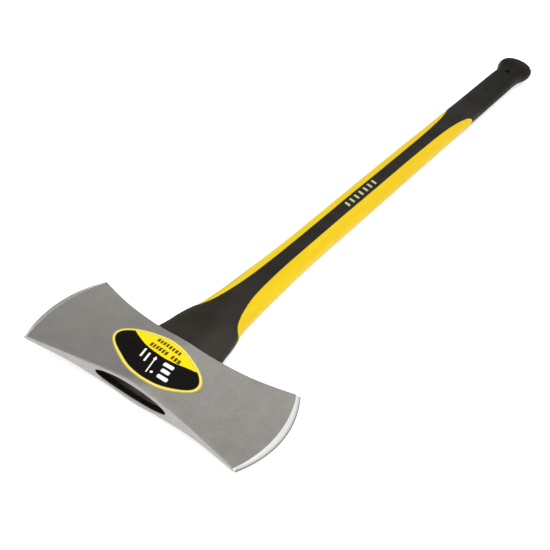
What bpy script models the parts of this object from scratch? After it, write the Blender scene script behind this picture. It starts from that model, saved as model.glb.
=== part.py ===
"""Double-bit axe, Michigan pattern, with a fibreglass-cored handle.

The axe lies flat on its broad side. X runs from one cutting edge to the other,
Y runs along the handle from the head to the butt, and Z is the thickness.
The origin is below the middle of the bounding box, on the surface that the
axe rests on. Lengths are in metres.

Pieces, as they would come apart on a bench:
    axe_head       forged steel head with a tapered eye through it
    eye_resin      cast resin cup that bonds the tongue in the eye
    eye_seal       soft ring that stops the resin at the handle side of the eye
    core_rod       pultruded glass-fibre rod
    handle_jacket  hard yellow jacket with the tongue and the two side panels
    overmould      black rubber second shot: shoulder, both strips, grip and knob
    head_label     oval decal on the upper cheek
"""

import math

import bmesh
import bpy
from mathutils import Vector

MM = 0.001

# ---------------------------------------------------------------- dimensions
GAP = 0.3 * MM                 # clearance kept between touching pieces

# head, seen from above: concave long sides, bowed cutting edges
BIT_CORNER_TOP = 119.4 * MM    # |x| of the bit corners on the free end of the eye
BIT_CORNER_HANDLE = 115.7 * MM  # |x| of the bit corners on the handle side
BIT_BOW = 13.5 * MM            # how far the cutting edge bows past its corners
WAIST_TOP = 39.5 * MM          # -y of the free side at the middle
WAIST_HANDLE = 31.3 * MM       # +y of the handle side at the middle
FLARE_TOP = 12.3 * MM          # extra half width of the free side at the corners
FLARE_HANDLE = 21.8 * MM       # extra half width of the handle side at the corners
FLARE_TOP_POWER = 2.25
FLARE_HANDLE_POWER = 1.79
# half thickness of the head at shares of the way from the middle to the edge
HEAD_THICKNESS = [(0.0, 13.2), (0.05, 13.2), (0.12, 12.0), (0.2, 10.5), (0.3, 9.0),
                  (0.4, 7.5), (0.5, 6.0), (0.6, 4.75), (0.7, 3.8), (0.8, 3.1),
                  (0.9, 2.5), (0.955, 2.1), (1.0, 0.25)]

# eye: an ellipse that tapers from the free side to the handle side
EYE_FREE = (-2.5 * MM, 39.5 * MM, 7.7 * MM)     # centre x, half length, half height
EYE_HANDLE = (-1.0 * MM, 35.5 * MM, 7.2 * MM)
TONGUE_CLEARANCE = 2.0 * MM    # eye wall to tongue
TONGUE_END = -30.0 * MM        # y of the tongue's end, recessed in the eye
RESIN_CAP = 2.2 * MM           # resin over the tongue's end
SEAL_START, SEAL_END = 23.3 * MM, 30.9 * MM

# handle outer form: y, half width, half thickness, squareness of the oval
HANDLE = [(31.6, 38.2, 11.3, 2.20), (40, 35.6, 11.6, 2.25), (50, 32.6, 12.0, 2.35),
          (60, 30.9, 12.3, 2.50), (70, 30.4, 12.5, 2.60), (78, 29.2, 12.7, 2.60),
          (85, 27.2, 12.9, 2.50), (93, 26.0, 13.0, 2.40), (104, 25.3, 13.0, 2.35),
          (120, 24.1, 13.0, 2.30), (142, 22.9, 13.0, 2.30), (170, 21.8, 13.0, 2.30),
          (205, 20.6, 13.0, 2.30), (260, 20.1, 13.0, 2.30), (330, 20.3, 13.0, 2.30),
          (420, 20.2, 13.0, 2.30), (510, 20.0, 13.0, 2.30), (580, 19.8, 13.0, 2.30),
          (640, 19.6, 13.0, 2.30), (700, 19.6, 13.0, 2.30), (770, 19.6, 13.0, 2.30),
          (790, 19.7, 13.0, 2.30), (801, 20.3, 13.2, 2.30), (809, 21.7, 13.9, 2.25),
          (817, 23.4, 14.7, 2.20), (825, 24.6, 15.3, 2.20), (832, 25.0, 15.5, 2.20),
          (838, 24.5, 15.1, 2.20), (842, 23.0, 13.7, 2.20), (844.8, 20.2, 11.2, 2.20),
          (846, 16.5, 8.2, 2.20)]
BUTT = 846.0 * MM

# jacket body inside the overmould: y, half width, half thickness, squareness
JACKET = [(31.6, 33.2, 5.3, 2.05), (38, 31.5, 6.6, 2.1), (48, 28.6, 8.6, 2.2),
          (60, 26.8, 9.7, 2.3), (78, 25.2, 10.1, 2.3), (93, 22.4, 10.3, 2.3),
          (120, 20.4, 10.4, 2.3), (170, 18.2, 10.4, 2.3), (260, 16.8, 10.4, 2.3),
          (640, 16.4, 10.4, 2.3), (790, 16.2, 10.3, 2.3), (822, 15.6, 10.0, 2.3),
          (828, 14.0, 8.8, 2.3)]
JACKET_END = 828.0 * MM

# black strip along the middle of each broad face: y, half width of the strip.
# Outside it the yellow side panels reach the surface.
STRIP = [(77, 28.6), (81, 24.4), (87, 20.4), (93, 17.7), (101, 15.2), (110, 13.3),
         (120, 11.6), (131, 10.2), (145, 8.9), (160, 8.0), (180, 7.3), (205, 7.0),
         (260, 6.7), (330, 6.55), (420, 6.55), (510, 6.7), (540, 7.2), (562, 8.1),
         (580, 9.3), (596, 10.9), (610, 12.7), (620, 14.3), (628, 16.4), (633, 18.3),
         (636, 19.5)]
WINDOW = (STRIP[0][0] * MM, STRIP[-1][0] * MM)
BLEND_OVER = 34.0 * MM         # length over which the shoulder's rings straighten

# core rod
CORE_HALF_W, CORE_HALF_T = 13.0 * MM, 4.0 * MM
CORE_END = 772.0 * MM

# hang hole through the grip, along Z
HANG_HOLE_Y, HANG_HOLE_R = 793.0 * MM, 4.0 * MM

# decal
LABEL_CENTRE = (-6.4 * MM, -1.1 * MM)
LABEL_HALF = (51.4 * MM, 28.6 * MM)
LABEL_TURN = math.radians(-8.0)
LABEL_THICKNESS = 0.3 * MM

SIDE_STEPS, TOP_STEPS = 8, 8   # facets of one side and of one broad face
REST_Z = 15.5 * MM             # height of the handle's axis when the axe lies flat
MID_Y = (BUTT - WAIST_TOP - FLARE_TOP) / 2


# ------------------------------------------------------------------ utilities
def smooth(table, x, column=1):
    """Value at x of a smooth curve through the table's points, with no overshoot."""
    xs = [row[0] for row in table]
    ys = [row[column] for row in table]
    if x <= xs[0]:
        return ys[0]
    if x >= xs[-1]:
        return ys[-1]
    steps = [(ys[i + 1] - ys[i]) / (xs[i + 1] - xs[i]) for i in range(len(xs) - 1)]

    def slope(i):
        if i == 0 or i == len(xs) - 1:
            return steps[0] if i == 0 else steps[-1]
        a, b = steps[i - 1], steps[i]
        return 0.0 if a * b <= 0 else 2 * a * b / (a + b)

    i = max(k for k in range(len(xs) - 1) if xs[k] <= x)
    width = xs[i + 1] - xs[i]
    t = (x - xs[i]) / width
    return (ys[i] * (1 + 2 * t) * (1 - t) ** 2 + ys[i + 1] * t * t * (3 - 2 * t)
            + width * (slope(i) * t * (1 - t) ** 2 - slope(i + 1) * t * t * (1 - t)))


def material(name, colour, roughness, metallic=0.0):
    mat = bpy.data.materials.new(name)
    mat.use_nodes = True
    shader = mat.node_tree.nodes["Principled BSDF"]
    shader.inputs["Base Color"].default_value = (*colour, 1.0)
    shader.inputs["Roughness"].default_value = roughness
    shader.inputs["Metallic"].default_value = metallic
    mat.diffuse_color = (*colour, 1.0)
    return mat


def make(name, verts, faces, mat=None, parent=None):
    """A mesh object with its faces turned outward."""
    mesh = bpy.data.meshes.new(name)
    mesh.from_pydata([tuple(v) for v in verts], [], faces)
    mesh.update()
    bm = bmesh.new()
    bm.from_mesh(mesh)
    bmesh.ops.remove_doubles(bm, verts=bm.verts, dist=1e-6)
    bmesh.ops.delete(bm, geom=[v for v in bm.verts if not v.link_faces], context="VERTS")
    bmesh.ops.recalc_face_normals(bm, faces=bm.faces)
    bm.to_mesh(mesh)
    bm.free()
    obj = bpy.data.objects.new(name, mesh)
    bpy.context.scene.collection.objects.link(obj)
    if mat:
        mesh.materials.append(mat)
        mesh.shade_smooth()
        mesh.set_sharp_from_angle(angle=math.radians(32))
    if parent:
        obj.parent = parent
    return obj


def loft(rings, close_start=True, close_end=True):
    """Faces that join equal rings of points, with flat caps."""
    verts, faces = [], []
    count = len(rings[0])
    for ring in rings:
        verts.extend(ring)
    for r in range(len(rings) - 1):
        a, b = r * count, (r + 1) * count
        for k in range(count):
            n = (k + 1) % count
            faces.append((a + k, a + n, b + n, b + k))
    if close_start:
        faces.append(tuple(reversed(range(count))))
    if close_end:
        faces.append(tuple(range((len(rings) - 1) * count, len(rings) * count)))
    return verts, faces


def cutter(name, verts, faces, parent):
    obj = make(name, verts, faces, parent=parent)
    obj.hide_render = True
    obj.display_type = "WIRE"
    return obj


def cut(obj, tool):
    mod = obj.modifiers.new("cut_" + tool.name, "BOOLEAN")
    mod.operation = "DIFFERENCE"
    mod.solver = "EXACT"
    mod.object = tool


def ellipse(centre_x, half_w, half_h, y, count, power=2.0):
    ring = []
    for k in range(count):
        a = 2 * math.pi * k / count
        c, s = math.cos(a), math.sin(a)
        ring.append(Vector((centre_x + half_w * math.copysign(abs(c) ** (2 / power), c), y,
                            half_h * math.copysign(abs(s) ** (2 / power), s))))
    return ring


# ----------------------------------------------------------------------- head
def free_side(x):
    return WAIST_TOP + FLARE_TOP * (abs(x) / BIT_CORNER_TOP) ** FLARE_TOP_POWER


def handle_side(x):
    return WAIST_HANDLE + FLARE_HANDLE * (abs(x) / BIT_CORNER_HANDLE) ** FLARE_HANDLE_POWER


def bit_x(v):
    """|x| of the cutting edge, v from -1 on the free side to +1 on the handle side."""
    corner = BIT_CORNER_TOP + (BIT_CORNER_HANDLE - BIT_CORNER_TOP) * (v + 1) / 2
    return corner + BIT_BOW * (1 - v * v)


def head_point(u, v):
    """Point on the head's middle plane, u from edge to edge and v across it."""
    x = u * bit_x(v)
    low = -free_side(min(abs(x), BIT_CORNER_TOP))
    high = handle_side(min(abs(x), BIT_CORNER_HANDLE))
    return x, low + (high - low) * (v + 1) / 2


def half_thickness(u):
    return smooth(HEAD_THICKNESS, abs(u)) * MM


def cheek_height(x, y):
    """Height of the cheek over the middle plane at x, y."""
    low, high = -free_side(min(abs(x), BIT_CORNER_TOP)), handle_side(min(abs(x), BIT_CORNER_HANDLE))
    v = max(-1.0, min(1.0, 2 * (y - low) / (high - low) - 1))
    return half_thickness(min(1.0, abs(x) / bit_x(v)))


def eye_at(y):
    """Centre x, half length and half height of the eye at y."""
    t = (y + WAIST_TOP) / (WAIST_HANDLE + WAIST_TOP)
    return [a + (b - a) * t for a, b in zip(EYE_FREE, EYE_HANDLE)]


def build_head(mat, root):
    us = [0.0, 0.05, 0.085, 0.12, 0.16, 0.2, 0.25, 0.3, 0.35, 0.4, 0.45, 0.5, 0.56, 0.62,
          0.68, 0.74, 0.8, 0.86, 0.91, 0.955, 0.978, 1.0]
    us = [-u for u in reversed(us[1:])] + us
    vs = [-1 + 2 * k / 12 for k in range(13)]
    verts, faces = [], []
    for side in (1, -1):
        for u in us:
            for v in vs:
                x, y = head_point(u, v)
                verts.append((x, y, side * half_thickness(u)))
    nu, nv = len(us), len(vs)
    half = nu * nv

    def at(i, j, low=False):
        return i * nv + j + (half if low else 0)

    for i in range(nu - 1):
        for j in range(nv - 1):
            faces.append((at(i, j), at(i + 1, j), at(i + 1, j + 1), at(i, j + 1)))
            faces.append((at(i, j, True), at(i, j + 1, True), at(i + 1, j + 1, True), at(i + 1, j, True)))
        for j in (0, nv - 1):
            faces.append((at(i, j), at(i, j, True), at(i + 1, j, True), at(i + 1, j)))
    for j in range(nv - 1):
        for i in (0, nu - 1):
            faces.append((at(i, j), at(i, j + 1), at(i, j + 1, True), at(i, j, True)))
    head = make("axe_head", verts, faces, mat, root)
    rings = [ellipse(*eye_at(y), y, 40) for y in (-70 * MM, 60 * MM)]
    cut(head, cutter("eye_cutter", *loft(rings), root))
    return head


# ------------------------------------------------------------- inside the eye
def tongue_ring(y, grow=0.0, count=40):
    cx, a, b = eye_at(y)
    return ellipse(cx, a - TONGUE_CLEARANCE + grow, b - TONGUE_CLEARANCE + grow, y, count)


def eye_ring(y, count=40):
    cx, a, b = eye_at(y)
    return ellipse(cx, a - GAP, b - GAP, y, count)


def build_resin(mat, root):
    top = TONGUE_END - GAP - RESIN_CAP
    rings = [eye_ring(SEAL_START - GAP), eye_ring(top)]
    bore = [tongue_ring(TONGUE_END - GAP, GAP), tongue_ring(SEAL_START - GAP, GAP)]
    verts, faces = loft([*rings, ], close_start=False)
    inner_verts, inner_faces = loft(bore, close_end=False)
    shift, count = len(verts), len(rings[0])
    faces += [tuple(i + shift for i in f) for f in inner_faces]
    verts += inner_verts
    for k in range(count):                       # rim at the open end of the cup
        n = (k + 1) % count
        faces.append((k, n, shift + count + n, shift + count + k))
    return make("eye_resin", verts, faces, mat, root)


def build_seal(mat, root):
    outer = [eye_ring(SEAL_START), eye_ring(SEAL_END)]
    inner = [tongue_ring(SEAL_END, GAP), tongue_ring(SEAL_START, GAP)]
    verts, faces = loft([*outer, *inner, outer[0]], close_start=False, close_end=False)
    return make("eye_seal", verts, faces, mat, root)


# --------------------------------------------------------------------- handle
def strip_angle(y, extra=0.0):
    """Angle of the panel's edge on the oval's own parameter, from the side (0) up.
    Past the windows' ends it stays what it is there."""
    y = max(WINDOW[0], min(WINDOW[1], y))
    w, m = smooth(HANDLE, y / MM) * MM, smooth(HANDLE, y / MM, 3)
    share = min(0.995, max(0.02, (smooth(STRIP, y / MM) * MM + extra) / w))
    return math.acos(share ** (m / 2))


def bend(x, y):
    """The rings next to the head follow its concave side, then straighten."""
    share = max(0.0, 1 - (y - HANDLE[0][0] * MM) / BLEND_OVER)
    share = share * share * (3 - 2 * share)
    return y + share * (handle_side(x) - WAIST_HANDLE)


def handle_ring(y, edge, section=HANDLE, grow=0.0, like=None):
    """Ring of points at y. The first SIDE_STEPS facets lie on the +X side, between
    -edge and +edge, the next TOP_STEPS on the upper face, and so on round.
    With like, the points lie on the section's oval in the same directions as like's."""
    w = smooth(section, y / MM) * MM + grow
    h = smooth(section, y / MM, 2) * MM + grow
    m = smooth(section, y / MM, 3)
    angles = [-edge + 2 * edge * k / SIDE_STEPS for k in range(SIDE_STEPS)]
    angles += [edge + (math.pi - 2 * edge) * k / TOP_STEPS for k in range(TOP_STEPS)]
    angles += [a + math.pi for a in angles]
    ring = []
    for i, a in enumerate(angles):
        if like is None:
            c, s = math.cos(a), math.sin(a)
            x = w * math.copysign(abs(c) ** (2 / m), c)
            z = h * math.copysign(abs(s) ** (2 / m), s)
        else:
            x, z = like[i].x, like[i].z
            k = ((abs(x) / w) ** m + (abs(z) / h) ** m) ** (-1 / m)
            x, z = x * k, z * k
        ring.append(Vector((x, bend(x, y), z)))
    return ring


def stations(start, end, extra=()):
    """The y positions of the rings between start and end."""
    ys = {row[0] for row in HANDLE} | {row[0] for row in STRIP} | {row[0] for row in JACKET}
    ys |= {k * 35.0 + 225 for k in range(17)}
    inside = sorted(y * MM for y in ys if start + 2.2 * MM < y * MM < end - 2.2 * MM)
    thinned = []
    for y in inside:
        if not thinned or y - thinned[-1] > 2.2 * MM:
            thinned.append(y)
    return [start, *thinned, end]


def is_side(k):
    """True for the facets of a ring that lie on the +X or the -X side."""
    return k % (SIDE_STEPS + TOP_STEPS) < SIDE_STEPS


def build_overmould(mat, root):
    start = HANDLE[0][0] * MM
    ys = [y for y in stations(start, WINDOW[0])]
    ys += stations(*WINDOW)[1:]
    ys += stations(WINDOW[1], 838 * MM)[1:] + [842 * MM, 844.8 * MM, BUTT]
    outer = [handle_ring(y, strip_angle(y)) for y in ys]
    inner_end = JACKET_END + GAP
    ys_in = [y for y in ys if y < inner_end - 3 * MM] + [inner_end]
    inner = [handle_ring(y, strip_angle(y), JACKET, GAP,
                         like=handle_ring(y, strip_angle(y))) for y in ys_in]
    count = len(outer[0])
    verts = [p for ring in outer + inner for p in ring]
    base = len(outer) * count
    faces = []

    def skin(rings, rows, offset):
        for r in range(rings - 1):
            inside = WINDOW[0] - 1e-6 <= rows[r] and rows[r + 1] <= WINDOW[1] + 1e-6
            for k in range(count):
                if inside and is_side(k):
                    continue
                n = (k + 1) % count
                a, b = offset + r * count, offset + (r + 1) * count
                faces.append((a + k, a + n, b + n, b + k))

    skin(len(outer), ys, 0)
    skin(len(inner), ys_in, base)
    faces.append(tuple(range((len(outer) - 1) * count, len(outer) * count)))
    faces.append(tuple(range(base + (len(inner) - 1) * count, base + len(inner) * count)))
    for k in range(count):                                      # front rim
        n = (k + 1) % count
        faces.append((k, n, base + n, base + k))
    first = min(range(len(ys)), key=lambda i: abs(ys[i] - WINDOW[0]))
    last = min(range(len(ys)), key=lambda i: abs(ys[i] - WINDOW[1]))
    half = SIDE_STEPS + TOP_STEPS
    for k in range(count):                                      # walls of the windows
        if is_side(k):
            n = (k + 1) % count
            for r in (first, last):
                a, b = r * count, base + r * count
                faces.append((a + k, a + n, b + n, b + k))
    for k in (0, SIDE_STEPS, half, half + SIDE_STEPS):
        for r in range(first, last):
            a, b = r * count + k, base + r * count + k
            faces.append((a, a + count, b + count, b))
    obj = make("overmould", verts, faces, mat, root)
    cut(obj, bpy.data.objects["hang_hole_cutter"])
    return obj


def panel_angle(y):
    """Edge of the yellow panel, kept clear of the window's edge."""
    middle = (WINDOW[0] + WINDOW[1]) / 2
    toward_end = y - 0.35 * MM if y < middle else y + 0.35 * MM
    toward_end = max(WINDOW[0], min(WINDOW[1], toward_end))
    return strip_angle(toward_end, extra=0.4 * MM)


def build_jacket(mat, root):
    """Tongue, body and both side panels in one lofted skin."""
    start = HANDLE[0][0] * MM
    panel = (WINDOW[0] + GAP, WINDOW[1] - GAP)
    body_a = [*stations(start, WINDOW[0])[:-1], panel[0]]
    body_b = [panel[0], *stations(*WINDOW)[1:-1], panel[1]]
    body_c = [panel[1], *[y for y in stations(WINDOW[1], 838 * MM)[1:] if y < JACKET_END - 3 * MM],
              JACKET_END]
    rings = []

    def body_ring(y, edge):
        return handle_ring(y, edge, JACKET, 0.0, like=handle_ring(y, edge))

    # The tongue's rings have their points in the same directions as the body's.
    for y in (TONGUE_END, SEAL_START, SEAL_END):
        cx, a, b = eye_at(y)
        a, b = a - TONGUE_CLEARANCE, b - TONGUE_CLEARANCE
        like = body_ring(start, panel_angle(panel[0]))
        ring = []
        for p in like:
            k = ((p.x / a) ** 2 + (p.z / b) ** 2) ** -0.5
            ring.append(Vector((cx + p.x * k, y, p.z * k)))
        rings.append(ring)
    for y in body_a:
        rings.append(body_ring(y, panel_angle(panel[0])))
    for y in body_b:
        edge = panel_angle(y)
        outer, inner = handle_ring(y, edge), body_ring(y, edge)
        rings.append((outer, inner))
    for y in body_c:
        rings.append(body_ring(y, panel_angle(panel[1])))

    verts, index = [], []
    for ring in rings:
        pair = ring if isinstance(ring, tuple) else (None, ring)
        rows = []
        for part in pair:
            if part is None:
                rows.append(None)
            else:
                rows.append(len(verts))
                verts.extend(part)
        index.append(rows)
    count = len(rings[0])
    half = SIDE_STEPS + TOP_STEPS
    faces = []
    for r in range(len(rings) - 1):
        (oa, ia), (ob, ib) = index[r], index[r + 1]
        both = oa is not None and ob is not None
        if (oa is None) != (ob is None):
            continue
        for k in range(count):
            n = (k + 1) % count
            if both and is_side(k):
                faces.append((oa + k, oa + n, ob + n, ob + k))
            else:
                faces.append((ia + k, ia + n, ib + n, ib + k))
        if both:
            for k in (0, SIDE_STEPS, half, half + SIDE_STEPS):
                faces.append((oa + k, ob + k, ib + k, ia + k))
    # A ring of the body and the paired ring at the same y are the same points on
    # the broad faces. On the sides the panel's end wall stands between them.
    first = next(i for i, (o, _) in enumerate(index) if o is not None)
    last = max(i for i, (o, _) in enumerate(index) if o is not None)
    for r in (first, last):
        o, i = index[r]
        for k in range(count):
            if is_side(k):
                n = (k + 1) % count
                faces.append((o + k, o + n, i + n, i + k))
    faces.append(tuple(range(count)))
    end = index[-1][1]
    faces.append(tuple(range(end, end + count)))
    obj = make("handle_jacket", verts, faces, mat, root)
    pocket = [ellipse(0.0, CORE_HALF_W + GAP, CORE_HALF_T + GAP, y, 32, 3.0)
              for y in (TONGUE_END - 10 * MM, CORE_END + GAP)]
    cut(obj, cutter("core_pocket_cutter", *loft(pocket), root))
    cut(obj, bpy.data.objects["hang_hole_cutter"])
    return obj


def build_core(mat, root):
    rings = [ellipse(0.0, CORE_HALF_W, CORE_HALF_T, y, 32, 3.0) for y in (TONGUE_END, CORE_END)]
    return make("core_rod", *loft(rings), mat, root)


# ---------------------------------------------------------------------- label
def build_label(mat, root):
    """Thin oval that follows the upper cheek: concentric rings over the surface."""
    around, across = 40, 5
    c, s = math.cos(LABEL_TURN), math.sin(LABEL_TURN)

    def place(share, k, lift):
        a = 2 * math.pi * k / around
        px, py = LABEL_HALF[0] * share * math.cos(a), LABEL_HALF[1] * share * math.sin(a)
        x = LABEL_CENTRE[0] + c * px - s * py
        y = LABEL_CENTRE[1] + s * px + c * py
        return (x, y, cheek_height(x, y) + lift)

    verts, faces = [], []
    for lift in (GAP, GAP + LABEL_THICKNESS):
        verts.append((LABEL_CENTRE[0], LABEL_CENTRE[1], cheek_height(*LABEL_CENTRE) + lift))
        for r in range(1, across + 1):
            verts.extend(place(r / across, k, lift) for k in range(around))
    layer = 1 + across * around
    for base in (0, layer):
        for k in range(around):
            n = (k + 1) % around
            faces.append((base, base + 1 + k, base + 1 + n))
            for r in range(across - 1):
                a, b = base + 1 + r * around, base + 1 + (r + 1) * around
                faces.append((a + k, b + k, b + n, a + n))
    rim = 1 + (across - 1) * around
    for k in range(around):
        n = (k + 1) % around
        faces.append((rim + k, rim + n, layer + rim + n, layer + rim + k))
    return make("head_label", verts, faces, mat, root)


# ----------------------------------------------------------------------- main
def main():
    for obj in list(bpy.data.objects):
        bpy.data.objects.remove(obj, do_unlink=True)

    root = bpy.data.objects.new("axe", None)
    bpy.context.scene.collection.objects.link(root)
    # The pieces are drawn about the handle's axis and the middle of the head, and
    # then set down with the bounding box's bottom centre on the origin.
    root.location = (0.0, -MID_Y, REST_Z)

    steel = material("forged_steel", (0.36, 0.35, 0.34), 0.42, 0.85)
    resin = material("cast_resin", (0.05, 0.042, 0.035), 0.45)
    seal = material("seal_foam", (0.03, 0.03, 0.03), 0.9)
    glass_fibre = material("glass_fibre", (0.55, 0.52, 0.40), 0.5)
    yellow = material("yellow_jacket", (0.93, 0.62, 0.012), 0.38)
    black = material("black_rubber", (0.022, 0.021, 0.019), 0.62)
    decal = material("decal", (0.85, 0.72, 0.10), 0.35)

    ring = [Vector((HANG_HOLE_R * math.cos(2 * math.pi * k / 20),
                    HANG_HOLE_Y + HANG_HOLE_R * math.sin(2 * math.pi * k / 20), 0)) for k in range(20)]
    cutter("hang_hole_cutter", *loft([[p + Vector((0, 0, z)) for p in ring]
                                      for z in (-40 * MM, 40 * MM)]), root)

    build_head(steel, root)
    build_resin(resin, root)
    build_seal(seal, root)
    build_core(glass_fibre, root)
    build_jacket(yellow, root)
    build_overmould(black, root)
    build_label(decal, root)


main()
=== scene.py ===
import math

import bmesh
import bpy
from mathutils import Matrix, Vector


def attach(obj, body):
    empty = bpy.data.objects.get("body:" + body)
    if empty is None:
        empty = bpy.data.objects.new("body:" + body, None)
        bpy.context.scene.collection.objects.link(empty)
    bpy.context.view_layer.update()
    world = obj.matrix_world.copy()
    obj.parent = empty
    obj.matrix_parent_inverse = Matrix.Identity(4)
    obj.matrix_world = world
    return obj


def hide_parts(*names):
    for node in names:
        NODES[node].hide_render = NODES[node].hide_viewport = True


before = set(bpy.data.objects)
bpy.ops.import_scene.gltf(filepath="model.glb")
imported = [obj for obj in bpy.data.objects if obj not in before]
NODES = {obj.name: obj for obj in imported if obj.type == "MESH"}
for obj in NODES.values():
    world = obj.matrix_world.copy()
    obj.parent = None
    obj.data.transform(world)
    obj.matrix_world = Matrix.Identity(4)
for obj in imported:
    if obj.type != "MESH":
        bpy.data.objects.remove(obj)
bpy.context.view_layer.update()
MM = 0.001

# ------------------------------------------------------------------ dimensions
# The same shape functions as the CAD part, about the handle's axis and the head's
# middle. PLACE moves that frame to the row frame.
GAP = 0.3 * MM
BIT_CORNER_TOP, BIT_CORNER_HANDLE = 119.4 * MM, 115.7 * MM
WAIST_TOP, WAIST_HANDLE = 39.5 * MM, 31.3 * MM
FLARE_TOP, FLARE_HANDLE = 12.3 * MM, 21.8 * MM
BLADE = [(0.0, 13.2), (0.05, 13.15), (0.12, 12.05), (0.2, 10.55), (0.3, 9.0), (0.4, 7.5),
         (0.5, 6.0), (0.6, 4.75), (0.7, 3.85), (0.8, 3.15), (0.9, 2.6), (0.955, 2.3), (1.0, 2.1)]
EYE_FREE = (-3.2 * MM, 39.5 * MM, 7.75 * MM)
EYE_HANDLE = (-1.0 * MM, 35.5 * MM, 7.2 * MM)
TONGUE_END = -30.0 * MM
RESIN_FACE = -32.5 * MM
HANDLE = [(31.6, 38.2, 11.3, 2.20), (40, 36.6, 11.6, 2.25), (50, 34.8, 12.0, 2.35),
          (60, 33.4, 12.3, 2.50), (70, 31.5, 12.5, 2.60), (78, 29.3, 12.7, 2.60),
          (85, 27.2, 12.9, 2.50), (93, 26.0, 13.0, 2.40), (104, 25.3, 13.0, 2.35),
          (120, 24.1, 13.0, 2.30), (142, 22.9, 13.0, 2.30), (170, 21.8, 13.0, 2.30),
          (205, 20.5, 13.0, 2.30), (260, 19.9, 13.0, 2.30), (330, 20.0, 13.0, 2.30),
          (420, 20.0, 13.0, 2.30), (510, 19.8, 13.0, 2.30), (580, 19.5, 13.0, 2.30),
          (625, 19.3, 13.0, 2.30), (650, 19.0, 13.0, 2.30), (700, 18.8, 13.0, 2.30),
          (770, 18.75, 13.0, 2.30), (790, 18.5, 13.0, 2.30), (799, 18.5, 13.1, 2.30),
          (805, 19.2, 13.5, 2.27), (811, 19.9, 14.1, 2.25), (817, 21.6, 14.75, 2.20),
          (824, 23.6, 15.25, 2.20), (830, 25.0, 15.5, 2.20), (835, 25.3, 15.4, 2.20),
          (839, 24.9, 14.9, 2.20), (842, 23.6, 13.7, 2.20), (844.8, 20.6, 11.2, 2.20),
          (846, 16.5, 8.2, 2.20)]
# how far the handle's axis stands to +X of the head's middle
AXIS = [(31, 0.0), (420, 0.0), (560, 0.3), (640, 0.85), (780, 0.85), (800, 1.4), (812, 1.2),
        (820, 0.9), (830, 0.6), (846, 0.75)]
BUTT = 846.0
JACKET = [(31.6, 33.2, 5.3, 2.05), (38, 31.5, 6.6, 2.1), (48, 28.6, 8.6, 2.2),
          (60, 26.8, 9.7, 2.3), (78, 25.2, 10.1, 2.3), (93, 22.4, 10.3, 2.3),
          (120, 20.4, 10.4, 2.3), (170, 18.2, 10.4, 2.3), (260, 16.8, 10.4, 2.3),
          (640, 16.4, 10.4, 2.3), (790, 16.2, 10.3, 2.3), (822, 15.6, 10.0, 2.3),
          (828, 14.0, 8.8, 2.3)]
JACKET_END = 828.0
# half width of the black strip, on the +X and on the -X side; the windows' ends
# close to a rounded tip
STRIP_R = [(76.2, 29.6), (76.8, 28.9), (77.8, 27.6), (79.1, 26.4), (81, 24.9), (83.2, 23.4),
           (86, 21.9), (90, 20.3), (95, 18.6), (100, 17.2), (105, 16.0), (110, 14.8),
           (120, 12.9), (130, 11.6), (140, 10.7), (150, 10.1), (165, 9.4), (180, 8.9),
           (200, 8.6), (230, 8.4), (300, 8.2), (380, 8.4), (460, 8.5), (500, 8.8), (530, 9.1),
           (550, 9.5), (570, 10.3), (585, 11.2), (600, 12.5), (610, 13.8), (618, 14.9),
           (624, 16.0), (629, 17.2), (633, 18.3), (635.4, 18.95), (636.2, 19.1)]
STRIP_L = [(76.2, 29.6), (78.0, 28.4), (80.3, 25.9), (82.3, 23.5), (85.8, 20.9), (90.5, 18.7),
           (95, 17.0), (100, 15.5), (105, 14.5), (110, 13.4), (120, 11.9), (130, 10.6),
           (140, 9.6), (150, 8.8), (165, 8.1), (180, 7.6), (200, 7.2), (260, 6.9),
           (340, 6.9), (400, 6.5), (460, 6.3), (520, 6.5), (550, 7.1), (570, 8.0),
           (585, 8.9), (600, 10.6), (610, 12.4), (618, 14.3), (623, 15.9), (627, 17.4),
           (630.5, 18.2), (633.5, 18.75), (635.4, 19.0), (636.2, 19.12)]
WINDOW = (STRIP_R[0][0], STRIP_R[-1][0])
BLEND_OVER = 34.0
HOLE_X, HOLE_Y, HOLE_R = 2.8, 792.8, 4.0
LABEL_CENTRE = (-6.8, -3.9)
LABEL_HALF = (51.6, 27.4)
# the outline's departure from an ellipse: a lens with rounded ends
LABEL_WAVE = (0.9806, 0.0226, 0.0364, 0.0032, 0.0082, -0.0315, 0.0349, 0.0164, 0.0176)
LABEL_TURN = math.radians(-8.3)
PLACE = Vector((0.0, -(0.846 - WAIST_TOP - FLARE_TOP) / 2, 15.5 * MM))


# ------------------------------------------------------------------- utilities
def smooth(table, x, column=1):
    """Value at x of a smooth curve through the table's points, with no overshoot."""
    xs = [row[0] for row in table]
    ys = [row[column] for row in table]
    if x <= xs[0]:
        return ys[0]
    if x >= xs[-1]:
        return ys[-1]
    steps = [(ys[i + 1] - ys[i]) / (xs[i + 1] - xs[i]) for i in range(len(xs) - 1)]

    def slope(i):
        if i == 0 or i == len(xs) - 1:
            return steps[0] if i == 0 else steps[-1]
        a, b = steps[i - 1], steps[i]
        return 0.0 if a * b <= 0 else 2 * a * b / (a + b)

    i = max(k for k in range(len(xs) - 1) if xs[k] <= x)
    width = xs[i + 1] - xs[i]
    t = (x - xs[i]) / width
    return (ys[i] * (1 + 2 * t) * (1 - t) ** 2 + ys[i + 1] * t * t * (3 - 2 * t)
            + width * (slope(i) * t * (1 - t) ** 2 - slope(i + 1) * t * t * (1 - t)))


def ramp(x, a, b):
    t = max(0.0, min(1.0, (x - a) / (b - a)))
    return t * t * (3 - 2 * t)


def spread(a, b, step):
    n = max(1, round((b - a) / step))
    return [a + (b - a) * k / n for k in range(n + 1)]


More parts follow.
